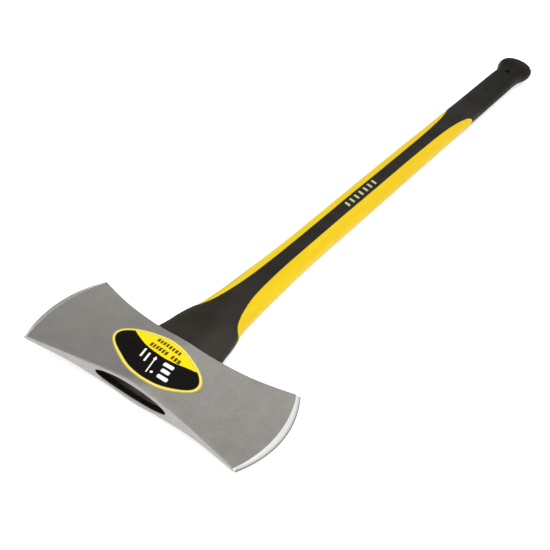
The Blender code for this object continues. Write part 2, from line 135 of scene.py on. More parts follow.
def make(name, verts, faces, mats=(), slots=None, doubles=1e-7):
    """A mesh object from points in the axe's own frame, with outward faces."""
    mesh = bpy.data.meshes.new(name)
    mesh.from_pydata([tuple(Vector(v) + PLACE) for v in verts], [], faces)
    for m in mats:
        mesh.materials.append(m)
    if slots is not None:
        mesh.polygons.foreach_set("material_index", slots)
    mesh.update()
    bm = bmesh.new()
    bm.from_mesh(mesh)
    bmesh.ops.remove_doubles(bm, verts=bm.verts, dist=doubles)
    bmesh.ops.delete(bm, geom=[v for v in bm.verts if not v.link_faces], context="VERTS")
    bmesh.ops.recalc_face_normals(bm, faces=bm.faces)
    bm.to_mesh(mesh)
    bm.free()
    obj = bpy.data.objects.new(name, mesh)
    bpy.context.scene.collection.objects.link(obj)
    return obj


def cut(obj, tool):
    """Cuts tool out of obj for good, and removes tool."""
    mod = obj.modifiers.new("cut", "BOOLEAN")
    mod.operation, mod.solver, mod.object = "DIFFERENCE", "EXACT", tool
    bpy.context.view_layer.update()
    graph = bpy.context.evaluated_depsgraph_get()
    mesh = bpy.data.meshes.new_from_object(obj.evaluated_get(graph))
    old = obj.data
    obj.modifiers.clear()
    obj.data = mesh
    mesh.name = obj.name
    bpy.data.meshes.remove(old)
    bpy.data.objects.remove(tool, do_unlink=True)


def shade(obj, angle=32, sharp_slots=()):
    """Smooth shading, with sharp edges by angle and round the faces of some slots."""
    mesh = obj.data
    mesh.shade_smooth()
    mesh.set_sharp_from_angle(angle=math.radians(angle))
    if sharp_slots:
        bm = bmesh.new()
        bm.from_mesh(mesh)
        for e in bm.edges:
            if len(e.link_faces) == 2:
                a, b = (f.material_index for f in e.link_faces)
                if a != b and (a in sharp_slots or b in sharp_slots):
                    e.smooth = False
        bm.to_mesh(mesh)
        bm.free()


def tidy(obj, dist=2e-6):
    """Joins points that a cut left on top of each other."""
    bm = bmesh.new()
    bm.from_mesh(obj.data)
    bmesh.ops.remove_doubles(bm, verts=bm.verts, dist=dist)
    bmesh.ops.dissolve_degenerate(bm, dist=1e-7, edges=bm.edges)
    bm.to_mesh(obj.data)
    bm.free()


# ------------------------------------------------------------------- materials
class Nodes:
    """A material's node tree with short calls."""

    def __init__(self, name, colour=(0.5, 0.5, 0.5)):
        self.mat = bpy.data.materials.new(name)
        self.mat.use_nodes = True
        self.mat.diffuse_color = (*colour, 1.0)
        self.tree = self.mat.node_tree
        self.shader = self.tree.nodes["Principled BSDF"]

    def add(self, kind, **values):
        node = self.tree.nodes.new(kind)
        for key, value in values.items():
            setattr(node, key, value)
        return node

    def put(self, socket, value):
        if isinstance(value, bpy.types.NodeSocket):
            self.tree.links.new(value, socket)
        elif isinstance(value, tuple) and len(value) == 3 and socket.type == "RGBA":
            socket.default_value = (*value, 1.0)
        else:
            socket.default_value = value

    def math(self, op, a, b=0.0, c=0.0, clamp=False):
        node = self.add("ShaderNodeMath", operation=op, use_clamp=clamp)
        for socket, value in zip(node.inputs, (a, b, c)):
            self.put(socket, value)
        return node.outputs[0]

    def range(self, value, a, b, lo=0.0, hi=1.0, smooth=True):
        node = self.add("ShaderNodeMapRange",
                        interpolation_type="SMOOTHSTEP" if smooth else "LINEAR")
        for key, v in (("Value", value), ("From Min", a), ("From Max", b),
                       ("To Min", lo), ("To Max", hi)):
            self.put(node.inputs[key], v)
        return node.outputs[0]

    def mix(self, share, a, b, blend="MIX"):
        node = self.add("ShaderNodeMix", data_type="RGBA", blend_type=blend)
        node.clamp_factor, node.clamp_result = True, False
        self.put(node.inputs[0], share)
        self.put(node.inputs[6], a)
        self.put(node.inputs[7], b)
        return node.outputs[2]

    def grey(self, value):
        node = self.add("ShaderNodeCombineColor")
        for socket in node.inputs[:3]:
            self.put(socket, value)
        return node.outputs[0]

    def point(self):
        if not hasattr(self, "_point"):
            self._point = self.add("ShaderNodeTexCoord").outputs["Object"]
        return self._point

    def split(self):
        if not hasattr(self, "_split"):
            node = self.add("ShaderNodeSeparateXYZ")
            self.put(node.inputs[0], self.point())
            self._split = node.outputs
        return self._split

    def uv(self, name):
        node = self.add("ShaderNodeSeparateXYZ")
        self.put(node.inputs[0], self.add("ShaderNodeUVMap", uv_map=name).outputs[0])
        return node.outputs[0], node.outputs[1]

    def noise(self, scale, detail=4.0, rough=0.55, stretch=None, distortion=0.0):
        where = self.point()
        if stretch:
            m = self.add("ShaderNodeMapping")
            self.put(m.inputs["Vector"], where)
            m.inputs["Scale"].default_value = stretch
            where = m.outputs[0]
        node = self.add("ShaderNodeTexNoise")
        self.put(node.inputs["Vector"], where)
        node.inputs["Scale"].default_value = scale
        node.inputs["Detail"].default_value = detail
        node.inputs["Roughness"].default_value = rough
        node.inputs["Distortion"].default_value = distortion
        return node.outputs["Fac"]

    def voronoi(self, scale, feature="F1", random=1.0):
        node = self.add("ShaderNodeTexVoronoi", feature=feature)
        self.put(node.inputs["Vector"], self.point())
        node.inputs["Scale"].default_value = scale
        node.inputs["Randomness"].default_value = random
        return node.outputs["Distance"]

    def bump(self, height, strength, distance, normal=None):
        node = self.add("ShaderNodeBump")
        node.inputs["Strength"].default_value = strength
        node.inputs["Distance"].default_value = distance
        self.put(node.inputs["Height"], height)
        if normal is not None:
            self.put(node.inputs["Normal"], normal)
        return node.outputs[0]

    def out(self, **values):
        names = {"colour": "Base Color", "rough": "Roughness", "metal": "Metallic",
                 "normal": "Normal", "specular": "Specular IOR Level", "coat": "Coat Weight",
                 "coat_rough": "Coat Roughness", "ior": "IOR", "sheen": "Sheen Weight"}
        for key, value in values.items():
            self.put(self.shader.inputs[names[key]], value)
        return self.mat


def blasted_steel():
    """Cheeks: shot-blasted, oiled steel with fine grit and soft clouds."""
    n = Nodes("steel_cheek", (0.42, 0.41, 0.40))
    grit = n.noise(1500, 3, 0.65)
    spots = n.noise(430, 4, 0.6)
    cloud = n.noise(55, 3, 0.5)
    pits = n.voronoi(700)
    tone = n.math("ADD", n.math("MULTIPLY", n.math("SUBTRACT", spots, 0.5), 0.55),
                  n.math("MULTIPLY", n.math("SUBTRACT", cloud, 0.5), 0.42))
    tone = n.math("ADD", tone, n.math("MULTIPLY", n.math("SUBTRACT", grit, 0.5), 0.34))
    tone = n.math("ADD", tone, 0.5, clamp=True)
    colour = n.mix(tone, (0.170, 0.163, 0.152), (0.352, 0.339, 0.317))
    pit = n.range(pits, 0.10, 0.24, 1.0, 0.0)
    colour = n.mix(n.math("MULTIPLY", pit, 0.28), colour, (0.115, 0.110, 0.102))
    y = n.split()[1]
    lift = n.range(y, -0.450, -0.350, 0.90, 1.22, smooth=False)     # painted light: the cheeks are painted paler towards the handle side and darker towards the free side
    colour = n.mix(1.0, colour, n.grey(lift), blend="MULTIPLY")
    rough = n.range(tone, 0.2, 0.8, 0.56, 0.46)
    height = n.math("ADD", n.math("MULTIPLY", grit, 0.5), n.math("MULTIPLY", spots, 0.6))
    height = n.math("SUBTRACT", height, n.math("MULTIPLY", pit, 0.35))
    return n.out(colour=colour, rough=rough, metal=0.86, normal=n.bump(height, 0.34, 0.00022))


def edge_steel():
    """Free side, handle side and their rounded edges: lighter, lightly linished."""
    n = Nodes("steel_end_face", (0.6, 0.59, 0.57))
    lines = n.noise(260, 4, 0.6, stretch=(0.12, 1.0, 2.6))
    spots = n.noise(520, 3, 0.6)
    cloud = n.noise(70, 2, 0.5)
    tone = n.math("ADD", n.math("MULTIPLY", n.math("SUBTRACT", lines, 0.5), 0.5),
                  n.math("MULTIPLY", n.math("SUBTRACT", spots, 0.5), 0.4))
    tone = n.math("ADD", tone, n.math("MULTIPLY", n.math("SUBTRACT", cloud, 0.5), 0.4))
    tone = n.math("ADD", tone, 0.5, clamp=True)
    colour = n.mix(tone, (0.245, 0.236, 0.224), (0.445, 0.430, 0.411))
    return n.out(colour=colour, rough=n.range(tone, 0.2, 0.8, 0.50, 0.40), metal=0.86,
                 normal=n.bump(n.math("ADD", lines, n.math("MULTIPLY", spots, 0.5)), 0.22, 0.00018))


def ground_steel():
    """Ground bevels: bright, with fine grinding lines square to the edge."""
    n = Nodes("steel_bevel", (0.85, 0.85, 0.84))
    along, away = n.uv("Bit")           # mm along the edge and mm away from it, over 100
    v = n.add("ShaderNodeCombineXYZ")
    n.put(v.inputs[0], n.math("MULTIPLY", along, 260.0))
    n.put(v.inputs[1], n.math("MULTIPLY", away, 14.0))
    t = n.add("ShaderNodeTexNoise")
    n.put(t.inputs["Vector"], v.outputs[0])
    t.inputs["Scale"].default_value, t.inputs["Detail"].default_value = 1.0, 5.0
    lines = t.outputs["Fac"]
    colour = n.mix(n.range(lines, 0.3, 0.7), (0.76, 0.748, 0.728), (0.93, 0.918, 0.895))
    colour = n.mix(n.range(away, 0.016, 0.034, 0.45, 0.0), colour, (0.42, 0.41, 0.395))
    dark = n.range(away, 0.0090, 0.0150, 0.80, 0.0)         # the dark line along the edge
    dark = n.math("MULTIPLY", dark, n.range(n.split()[0], -0.01, 0.01, 0.35, 1.0))
    colour = n.mix(dark, colour, (0.22, 0.215, 0.206))
    return n.out(colour=colour, rough=n.range(lines, 0.3, 0.7, 0.30, 0.20), metal=1.0,
                 normal=n.bump(lines, 0.16, 0.00008))


def eye_wall():
    """Inside of the eye: near-black, partly forge scale and resin stain and partly painted shade of the
    recess.
    """
    n = Nodes("steel_eye_wall", (0.03, 0.03, 0.03))
    scale = n.noise(320, 4, 0.6)
    runs = n.noise(120, 3, 0.5, stretch=(1.0, 0.2, 1.0))
    # painted shade: these near-black colours also stand in for the shade inside the eye
    colour = n.mix(n.range(scale, 0.35, 0.7), (0.004, 0.0036, 0.0032), (0.016, 0.014, 0.012))
    colour = n.mix(n.range(runs, 0.55, 0.75, 0.0, 0.5), colour, (0.024, 0.020, 0.016))
    return n.out(colour=colour, rough=n.range(scale, 0.3, 0.7, 0.75, 0.5), metal=0.1,
                 specular=0.10, normal=n.bump(scale, 0.4, 0.0003))


def cast_resin():
    """Cast epoxy with a dull skin, small bubbles and a slight mottle."""
    n = Nodes("cast_resin", (0.06, 0.05, 0.04))
    cloud = n.noise(110, 4, 0.6)
    fine = n.noise(600, 3, 0.6)
    bubbles = n.range(n.voronoi(330), 0.06, 0.16, 1.0, 0.0)
    colour = n.mix(n.range(cloud, 0.3, 0.7), (0.046, 0.039, 0.031), (0.080, 0.069, 0.055))
    x = n.split()[0]
    # painted shade: the resin face is darkened towards the -X end of the eye
    colour = n.mix(n.range(x, -0.030, 0.012, 0.85, 0.0), colour, (0.008, 0.0065, 0.005))
    colour = n.mix(n.math("MULTIPLY", bubbles, 0.6), colour, (0.02, 0.017, 0.014))
    height = n.math("SUBTRACT", n.math("MULTIPLY", fine, 0.4), n.math("MULTIPLY", bubbles, 0.5))
    return n.out(colour=colour, rough=n.range(fine, 0.3, 0.7, 0.58, 0.44), specular=0.15,
                 normal=n.bump(height, 0.35, 0.0003))


def rubber(name="rubber_overmould"):
    """Moulded thermoplastic rubber: warm near-black, fine spark-eroded grain, and a
    row of plain pale bars printed along the upper strip."""
    n = Nodes(name, (0.024, 0.022, 0.020))
    x, y, z = n.split()
    grain = n.noise(1700, 2, 0.6)
    leather = n.voronoi(1100)
    cloud = n.noise(38, 3, 0.55)
    flow = n.noise(26, 3, 0.5, stretch=(4.0, 0.35, 4.0))
    warm = n.mix(n.range(cloud, 0.3, 0.7), (0.0175, 0.0152, 0.0118), (0.0255, 0.0225, 0.0180))
    cool = n.mix(n.range(cloud, 0.3, 0.7), (0.0130, 0.0118, 0.0102), (0.0190, 0.0168, 0.0142))
    # painted sheen: a lighter patch on the +X side of the shoulder next to the head
    painted_sheen = n.math("MULTIPLY", n.range(x, 0.002, 0.020), n.range(y, -0.345, -0.305, 1.0, 0.0))
    warm = n.mix(n.math("MULTIPLY", painted_sheen, 0.6), warm, (0.042, 0.038, 0.031))
    strip = n.math("MULTIPLY", n.range(y, -0.285, -0.215), n.range(y, 0.165, 0.235, 1.0, 0.0))
    colour = n.mix(n.math("MULTIPLY", strip, 0.8), warm, cool)
    colour = n.mix(n.range(flow, 0.55, 0.8, 0.0, 0.3), colour, (0.026, 0.023, 0.018))
    dark = n.mix(n.range(cloud, 0.3, 0.7), (0.0062, 0.0056, 0.0042), (0.0100, 0.0092, 0.0072))
    colour = n.mix(n.range(y, 0.15, 0.40, 0.0, 1.0), colour, dark)      # darker towards the knob
    px, py = n.math("MULTIPLY", x, 1000.0), n.math("MULTIPLY", y, 1000.0)
    pitch, first, count = 10.2, -71.0, 7
    step = n.math("FLOOR", n.math("DIVIDE", n.math("SUBTRACT", py, first - pitch / 2), pitch))
    away = n.math("SUBTRACT", py, n.math("MULTIPLY_ADD", step, pitch, first))
    lean = n.math("MULTIPLY_ADD", n.math("SUBTRACT", px, 0.8), 0.22, away)
    thick = n.math("ABSOLUTE", lean)
    inside = n.math("MULTIPLY", n.range(thick, 1.65, 2.0, 1.0, 0.0),
                    n.range(n.math("ABSOLUTE", n.math("SUBTRACT", px, 0.8)), 3.5, 3.8, 1.0, 0.0))
    inside = n.math("MULTIPLY", inside, n.math("GREATER_THAN", step, -0.5))
    inside = n.math("MULTIPLY", inside, n.math("LESS_THAN", step, count - 0.5))
    inside = n.math("MULTIPLY", inside, n.math("GREATER_THAN", z, 0.0155))
    colour = n.mix(n.math("MULTIPLY", inside, 0.85), colour, (0.56, 0.53, 0.25))
    rough = n.math("ADD", n.range(flow, 0.3, 0.7, 0.58, 0.50), n.math("MULTIPLY", grain, 0.08))
    height = n.math("ADD", n.math("MULTIPLY", grain, 0.5), n.math("MULTIPLY", leather, 0.7))
    return n.out(colour=colour, rough=rough, specular=0.075, normal=n.bump(height, 0.30, 0.00018))


def yellow_plastic():
    """Moulded polypropylene: saturated yellow, satin, with faint flow marks."""
    n = Nodes("yellow_jacket", (0.90, 0.60, 0.01))
    flow = n.noise(16, 4, 0.55, stretch=(5.0, 0.5, 5.0))
    cloud = n.noise(45, 3, 0.5)
    peel = n.noise(650, 3, 0.55)
    colour = n.mix(n.range(flow, 0.3, 0.7), (0.670, 0.453, 0.0038), (0.708, 0.499, 0.0058))
    colour = n.mix(n.range(cloud, 0.4, 0.8, 0.0, 0.35), colour, (0.680, 0.440, 0.0034))
    specks = n.range(n.voronoi(160), 0.035, 0.06, 0.35, 0.0)
    colour = n.mix(specks, colour, (0.62, 0.38, 0.004))
    x, y, z = n.split()[:3]
    # painted light: the -X side of the jacket is painted paler
    colour = n.mix(n.range(x, -0.0120, -0.0040, 0.6, 0.0), colour, (0.69, 0.54, 0.014))
    shadow = n.math("MAXIMUM", n.range(z, 0.0080, 0.0150, 0.95, 0.0),
                    n.math("MULTIPLY", n.range(x, -0.0192, -0.0160, 0.85, 0.0),
                           n.range(y, -0.290, -0.240, 0.25, 1.0)))
    colour = n.mix(shadow, colour, (0.25, 0.20, 0.010))
    rough = n.math("ADD", n.range(flow, 0.3, 0.7, 0.52, 0.45), n.math("MULTIPLY", peel, 0.08))
    return n.out(colour=colour, rough=rough, specular=0.13, normal=n.bump(peel, 0.10, 0.0002))


def seal_foam():
    n = Nodes("seal_foam", (0.03, 0.03, 0.03))
    cells = n.voronoi(900)
    colour = n.mix(n.range(cells, 0.1, 0.5), (0.008, 0.008, 0.008), (0.05, 0.05, 0.048))
    return n.out(colour=colour, rough=0.92, normal=n.bump(cells, 0.6, 0.0005))


def glass_fibre():
    n = Nodes("glass_fibre", (0.55, 0.52, 0.40))
    strands = n.noise(900, 5, 0.6, stretch=(1.0, 0.02, 1.0))
    colour = n.mix(n.range(strands, 0.3, 0.7), (0.42, 0.40, 0.30), (0.68, 0.66, 0.54))
    return n.out(colour=colour, rough=n.range(strands, 0.3, 0.7, 0.55, 0.4),
                 normal=n.bump(strands, 0.3, 0.0003))


def decal():
    """Printed vinyl: yellow rim, black field, yellow segment and plain marks.
    One map holds mm along and across the oval over 100, the other mm to its outline."""
    n = Nodes("decal_print", (0.8, 0.65, 0.05))
    a, b = n.uv("Decal")
    p, q = n.math("MULTIPLY", a, 100.0), n.math("MULTIPLY", b, 100.0)
    inset = n.math("MULTIPLY", n.uv("Rim")[0], 100.0)

    def bar(cp, cq, half_p, half_q, turn=0.0, soft=0.12, corner=0.35):
        """A rounded bar, 1 inside."""
        c, s = math.cos(math.radians(turn)), math.sin(math.radians(turn))
        dp, dq = n.math("SUBTRACT", p, cp), n.math("SUBTRACT", q, cq)
        u = n.math("ABSOLUTE", n.math("ADD", n.math("MULTIPLY", dp, c), n.math("MULTIPLY", dq, s)))
        v = n.math("ABSOLUTE", n.math("SUBTRACT", n.math("MULTIPLY", dq, c), n.math("MULTIPLY", dp, s)))
        u = n.math("MAXIMUM", n.math("SUBTRACT", u, half_p - corner), 0.0)
        v = n.math("MAXIMUM", n.math("SUBTRACT", v, half_q - corner), 0.0)
        d = n.math("SQRT", n.math("ADD", n.math("MULTIPLY", u, u), n.math("MULTIPLY", v, v)))
        return n.range(d, corner - soft, corner + soft, 1.0, 0.0)

    def union(items):
        total = items[0]
        for item in items[1:]:
            total = n.math("MAXIMUM", total, item)
        return total

    curve = n.add("ShaderNodeFloatCurve")
    table = [(-50, 17.5), (-37.2, 12.1), (-28, 9.1), (-19.2, 6.8), (-9, 5.3), (0.6, 5.1), (8, 5.9),
             (15.6, 7.9), (21.5, 10.6), (27.1, 13.6), (36.6, 17.8), (50, 24.0)]
    points = curve.mapping.curves[0].points
    for i, (x, y) in enumerate(table):
        place = ((x + 50) / 100, y / 30)
        if i < 2:
            points[i].location = place
        else:
            points.new(*place)
    curve.mapping.update()
    n.put(curve.inputs["Value"], n.math("MULTIPLY_ADD", p, 0.01, 0.5))
    border = n.math("MULTIPLY", curve.outputs[0], 30.0)
    upper = n.range(n.math("SUBTRACT", q, border), -0.15, 0.15)
    grain = n.noise(900, 3, 0.6)
    wear = n.noise(240, 4, 0.6)
    pale = n.mix(n.range(grain, 0.3, 0.7), (0.66, 0.59, 0.15), (0.74, 0.67, 0.19))
    gold = n.mix(n.range(grain, 0.3, 0.7), (0.42, 0.33, 0.020), (0.52, 0.41, 0.030))
    yellow = n.mix(n.range(grain, 0.3, 0.7), (0.80, 0.58, 0.006), (0.87, 0.65, 0.010))
    black = n.mix(n.range(wear, 0.3, 0.7), (0.0026, 0.0022, 0.0016), (0.0050, 0.0044, 0.0034))
    field = n.mix(upper, black, yellow)
    # plain white bars in the black field, and rows of dark blocks in the yellow segment
    whites = union([
        bar(23.4, -11.4, 5.2, 2.15, 15, corner=1.2), bar(20.0, -4.7, 4.2, 2.1, 15, corner=1.2),
        bar(17.0, 2.0, 5.2, 2.15, 15, corner=1.2),
        bar(5.2, -8.1, 0.55, 10.4, 20.9), bar(12.2, -14.2, 1.35, 1.35, 18, corner=1.3),
        bar(2.6, -1.2, 1.55, 1.55, 15, corner=1.5),
        bar(-4.4, -4.4, 1.0, 5.8, 20), bar(-11.6, -2.4, 1.0, 5.6, 20)])
    field = n.mix(whites, field, (0.86, 0.86, 0.84))
    row_1 = [bar(-14.4 + 3.7 * k, 10.4 + 0.025 * k * k, (1.45, 1.2, 1.35)[k % 3], 2.5, 12, soft=0.25)
             for k in range(10) if k != 6]
    row_2 = [bar(-13.6 + 3.7 * k, 18.7 + 0.02 * k * k, (1.4, 1.15)[k % 2], 2.2, 12, soft=0.25)
             for k in range(8)]
    field = n.mix(n.math("MULTIPLY", union(row_1 + row_2), 0.93), field, (0.020, 0.017, 0.008))
    colour = n.mix(n.range(inset, 3.05, 3.35), gold, field)
    colour = n.mix(n.range(inset, 2.55, 2.85, 1.0, 0.0), colour, pale)
    colour = n.mix(n.range(inset, 0.75, 1.15, 1.0, 0.0), colour, gold)
    return n.out(colour=colour, rough=n.range(grain, 0.3, 0.7, 0.40, 0.32), specular=0.06,
                 normal=n.bump(grain, 0.05, 0.0001))


CHEEK, END, BEVEL, EYE = blasted_steel(), edge_steel(), ground_steel(), eye_wall()
RESIN, RUBBER, YELLOW = cast_resin(), rubber(), yellow_plastic()
FOAM, GLASS, DECAL = seal_foam(), glass_fibre(), decal()


# ------------------------------------------------------------------------ head
def free_side(x):
    more = 0.7 * ramp(-x / MM, 10, 55) + 0.3 * ramp(x / MM, 55, 100)
    more *= 1 - ramp(abs(x) / MM, 98, 117)
    return (WAIST_TOP + FLARE_TOP * (min(abs(x), BIT_CORNER_TOP) / BIT_CORNER_TOP) ** 2.25
            + more * MM)


def handle_side(x):
    more = 0.8 * ramp(-x / MM, 5, 75) + 0.5 * ramp(-x / MM, 80, 122)
    more -= 0.4 * ramp(x / MM, 20, 45) * (1 - ramp(x / MM, 70, 105))
    return (WAIST_HANDLE + FLARE_HANDLE * (min(abs(x), BIT_CORNER_HANDLE) / BIT_CORNER_HANDLE) ** 1.79
            + more * MM)


def bit_x(v, left=False):
    """Distance of the cutting edge from the middle. The -X edge is the flatter one."""
    top, low, bow = (119.7, 118.7, 10.4) if left else (119.4, 115.7, 13.42)
    return (top + (low - top) * (v + 1) / 2 + bow * (1 - v * v)) * MM


def head_point(u, v):
    x = u * bit_x(v, u < 0)
    low, high = -free_side(x), handle_side(x)
    return x, low + (high - low) * (v + 1) / 2


def bevel_start(v):
    """u where the ground bevel starts: wide in the middle of the edge, narrow at its ends."""
    return 1 - (6.3 + 0.7 * v - 2.5 * v * v) * MM / bit_x(v)


SPLIT = 0.95


def station(s, v):
    """(u, half thickness) at station s from -1 to 1. Past SPLIT lies the bevel."""
    k, ub = abs(s), bevel_start(v)
    if k <= SPLIT:
        u = k / SPLIT * ub
        t = smooth(BLADE, u) * MM
    else:
        f = (k - SPLIT) / (1 - SPLIT)
        u = ub + f * (1 - ub)
        t = (smooth(BLADE, ub) * (1 - f) + 0.10 * f + 0.30 * f * (1 - f)) * MM
    return math.copysign(u, s), t


def across(x, y):
    low, high = -free_side(x), handle_side(x)
    return max(-1.0, min(1.0, 2 * (y - low) / (high - low) - 1))


def cheek_z(x, y):
    v = across(x, y)
    return smooth(BLADE, min(1.0, abs(x) / bit_x(v, x < 0))) * MM


def eye_at(y):
    t = (y + WAIST_TOP) / (WAIST_HANDLE + WAIST_TOP)
    return [a + (b - a) * t for a, b in zip(EYE_FREE, EYE_HANDLE)]


def build_head():
    body = [SPLIT * k / 66 for k in range(67)]
    bevel = [SPLIT + (1 - SPLIT) * f for f in (0.12, 0.3, 0.5, 0.7, 0.86, 0.95, 1.0)]
    half = body + bevel
    stations = [-s for s in reversed(half[1:])] + half
    flat, arc, wall = 34, 7, 8
    rows = []
    for s in stations:
        ring = []
        edge_x = station(s, 1)[0] * bit_x(1, s < 0)
        span = handle_side(edge_x) + free_side(edge_x)
        tm = station(s, 0)[1]
        r = min((0.8 + 1.0 * math.exp(-(edge_x / (42 * MM)) ** 2)) * MM, 0.86 * tm)
        round_at = {1: 0.6 * r, -1: r}
        inner = {side: 1 - 2 * round_at[side] / span for side in (1, -1)}

        def at(v, lift):
            u, t = station(s, v)
            x, y = head_point(u, v)
            return Vector((x, y, lift(t)))

        # upper cheek, handle-side edge, wall, lower edge, lower cheek, free side
        for j in range(flat + 1):
            v = -inner[-1] + (inner[1] + inner[-1]) * j / flat
            ring.append(at(v, lambda t: t))
        for side, sign in ((1, 1), (-1, -1)):
            r, near = round_at[side], inner[side]
            for j in range(1, arc + 1):                   # from the cheek to the wall
                a = math.pi / 2 * j / arc
                v = side * (near + (1 - near) * math.sin(a))
                ring.append(at(v, lambda t: sign * (t - min(r, 0.86 * t) * (1 - math.cos(a)))))
            for j in range(1, wall):
                f = 1 - 2 * j / wall
                ring.append(at(side, lambda t: sign * f * (t - min(r, 0.86 * t))))
            for j in reversed(range(1, arc + 1)):         # and from the wall to the other cheek
                a = math.pi / 2 * j / arc
                v = side * (near + (1 - near) * math.sin(a))
                ring.append(at(v, lambda t: -sign * (t - min(r, 0.86 * t) * (1 - math.cos(a)))))
            if side == 1:
                for j in range(flat + 1):
                    v = inner[1] - (inner[1] + inner[-1]) * j / flat
                    ring.append(at(v, lambda t: -t))
        rows.append(ring)
    count = len(rows[0])
    verts = [p for ring in rows for p in ring]
    faces, slots = [], []
    first_low = flat + 1 + 2 * arc + wall - 1
    for i in range(len(rows) - 1):
        grind = min(abs(stations[i]), abs(stations[i + 1])) >= SPLIT - 1e-9
        for k in range(count):
            n = (k + 1) % count
            a, b = i * count, (i + 1) * count
            faces.append((a + k, a + n, b + n, b + k))
            soft = k >= count - 3 or first_low + flat <= k < first_low + flat + 3
            wall_face = (flat + arc <= k < flat + arc + wall
                         or first_low + flat + arc <= k < first_low + flat + arc + wall)
            if grind:
                slots.append(1 if wall_face else 2)
            else:
                slots.append(0 if k < first_low + flat or soft else 1)
    for i in (0, len(rows) - 1):
        a = i * count
        for j in range(flat):
            faces.append((a + j, a + j + 1, a + first_low + flat - j - 1, a + first_low + flat - j))
            slots.append(2)
        faces.append(tuple(a + k for k in range(flat, first_low + 1)))
        faces.append(tuple(a + k for k in [*range(first_low + flat, count), 0]))
        slots += [2, 2]
    head = make("axe_head_forged", verts, faces, (CHEEK, END, BEVEL, EYE), slots)

    # The eye's mouth is rounded over about a millimetre.
    R, ring_n = 1.0 * MM, 112
    steps = [(-1.2 * R, 3.0), (0.08 * R, None), (0.2 * R, None), (0.36 * R, None),
             (0.56 * R, None), (0.78 * R, None), (R, None)]
    rings = []
    for d, g in steps:
        if g is None:
            grow = R - math.sqrt(R * R - (R - d) ** 2)
        else:
            grow = (1 - math.sqrt(1 - 0.92 ** 2) + 1.28 * 0.92 / math.sqrt(1 - 0.92 ** 2)) * R
        ring = []
        for k in range(ring_n):
            a = 2 * math.pi * k / ring_n
            x = EYE_FREE[0] + (EYE_FREE[1] + grow) * math.cos(a)
            ring.append(Vector((x, -free_side(x) + d, (EYE_FREE[2] + grow) * math.sin(a))))
        rings.append(ring)
    for y in (-20 * MM, 0.0, 20 * MM, 60 * MM):
        cx, a2, b2 = eye_at(y)
        rings.append([Vector((cx + a2 * math.cos(2 * math.pi * k / ring_n), y,
                              b2 * math.sin(2 * math.pi * k / ring_n))) for k in range(ring_n)])
    cv = [p for ring in rings for p in ring]
    cf = []
    for i in range(len(rings) - 1):
        for k in range(ring_n):
            n = (k + 1) % ring_n
            cf.append((i * ring_n + k, i * ring_n + n, (i + 1) * ring_n + n, (i + 1) * ring_n + k))
    cs = [3 if i // ring_n >= len(steps) - 2 else 1 for i in range(len(cf))]
    cf += [tuple(range(ring_n)), tuple(range((len(rings) - 1) * ring_n, len(rings) * ring_n))]
    cs += [3, 3]
    cut(head, make("eye_cutter", cv, cf, (CHEEK, END, BEVEL, EYE), cs))
    tidy(head)
    shade(head, 34, sharp_slots=(2,))
    # mm along the cutting edge and mm away from it, for the bevels' grinding lines
    uv = head.data.uv_layers.new(name="Bit")
    for loop in head.data.loops:
        p = head.data.vertices[loop.vertex_index].co - PLACE
        v = across(p.x, p.y)
        uv.data[loop.index].uv = (p.y / MM / 100, (bit_x(v, p.x < 0) - abs(p.x)) / MM / 100)
    return head


# ---------------------------------------------------------------- eye and resin
def oval(cx, a, b, y, count, power=2.0):
    ring = []
    for k in range(count):
        t = 2 * math.pi * k / count
        c, s = math.cos(t), math.sin(t)
        ring.append(Vector((cx + a * math.copysign(abs(c) ** (2 / power), c), y,
                            b * math.copysign(abs(s) ** (2 / power), s))))
    return ring


def build_resin():
    """Resin cup whose free face has a meniscus and a slight cast unevenness."""
    count = 96
    rings = []
    y_end = 23.0 * MM
    cx, a, b = eye_at(y_end)
    rings.append(oval(cx, a - 2.0 * MM + GAP, b - 2.0 * MM + GAP, y_end, count))
    rings.append(oval(cx, a - GAP, b - GAP, y_end, count))
    for y in (10 * MM, -10 * MM, -26 * MM):
        cx, a, b = eye_at(y)
        rings.append(oval(cx, a - GAP, b - GAP, y, count))
    cx, a, b = eye_at(RESIN_FACE)
    for share, lift in ((1.0, 1.15), (0.985, 0.72), (0.955, 0.38), (0.90, 0.14), (0.80, 0.03),
                        (0.66, 0.0), (0.5, 0.0), (0.34, 0.0), (0.18, 0.0), (0.06, 0.0)):
        ring = oval(cx, (a - GAP) * share, (b - GAP) * share, RESIN_FACE, count)
        for p in ring:
            wave = 0.16 * math.sin(p.x * 190 + 1.3) + 0.10 * math.sin(p.x * 410 + p.z * 500)
            p.y -= (lift + wave * (1 - share ** 4)) * MM
        rings.append(ring)
    inner = []
    for y in (TONGUE_END - GAP, -10 * MM, 10 * MM, y_end):
        c2, a2, b2 = eye_at(y)
        inner.append(oval(c2, a2 - 2.0 * MM + GAP, b2 - 2.0 * MM + GAP, y, count))
    verts, faces = [p for ring in rings for p in ring], []
    for i in range(len(rings) - 1):
        for k in range(count):
            n = (k + 1) % count
            faces.append((i * count + k, i * count + n, (i + 1) * count + n, (i + 1) * count + k))
    faces.append(tuple(range((len(rings) - 1) * count, len(rings) * count)))
    base = len(verts)
    verts += [p for ring in inner for p in ring]
    for i in range(len(inner) - 1):
        for k in range(count):
            n = (k + 1) % count
            faces.append((base + i * count + k, base + i * count + n,
                          base + (i + 1) * count + n, base + (i + 1) * count + k))
    faces.append(tuple(base + k for k in range(count)))
    obj = make("eye_resin_cast", verts, faces, (RESIN,), doubles=1e-6)
    shade(obj, 40)
    return obj


# ---------------------------------------------------------------------- handle
SIDE, TOP = 16, 56
COUNT = 2 * (SIDE + TOP)
NEAR = (0.0, 0.05, 0.13, 0.25, 0.42)         # mm from an edge, where its rounding is drawn
ROUND = 0.42


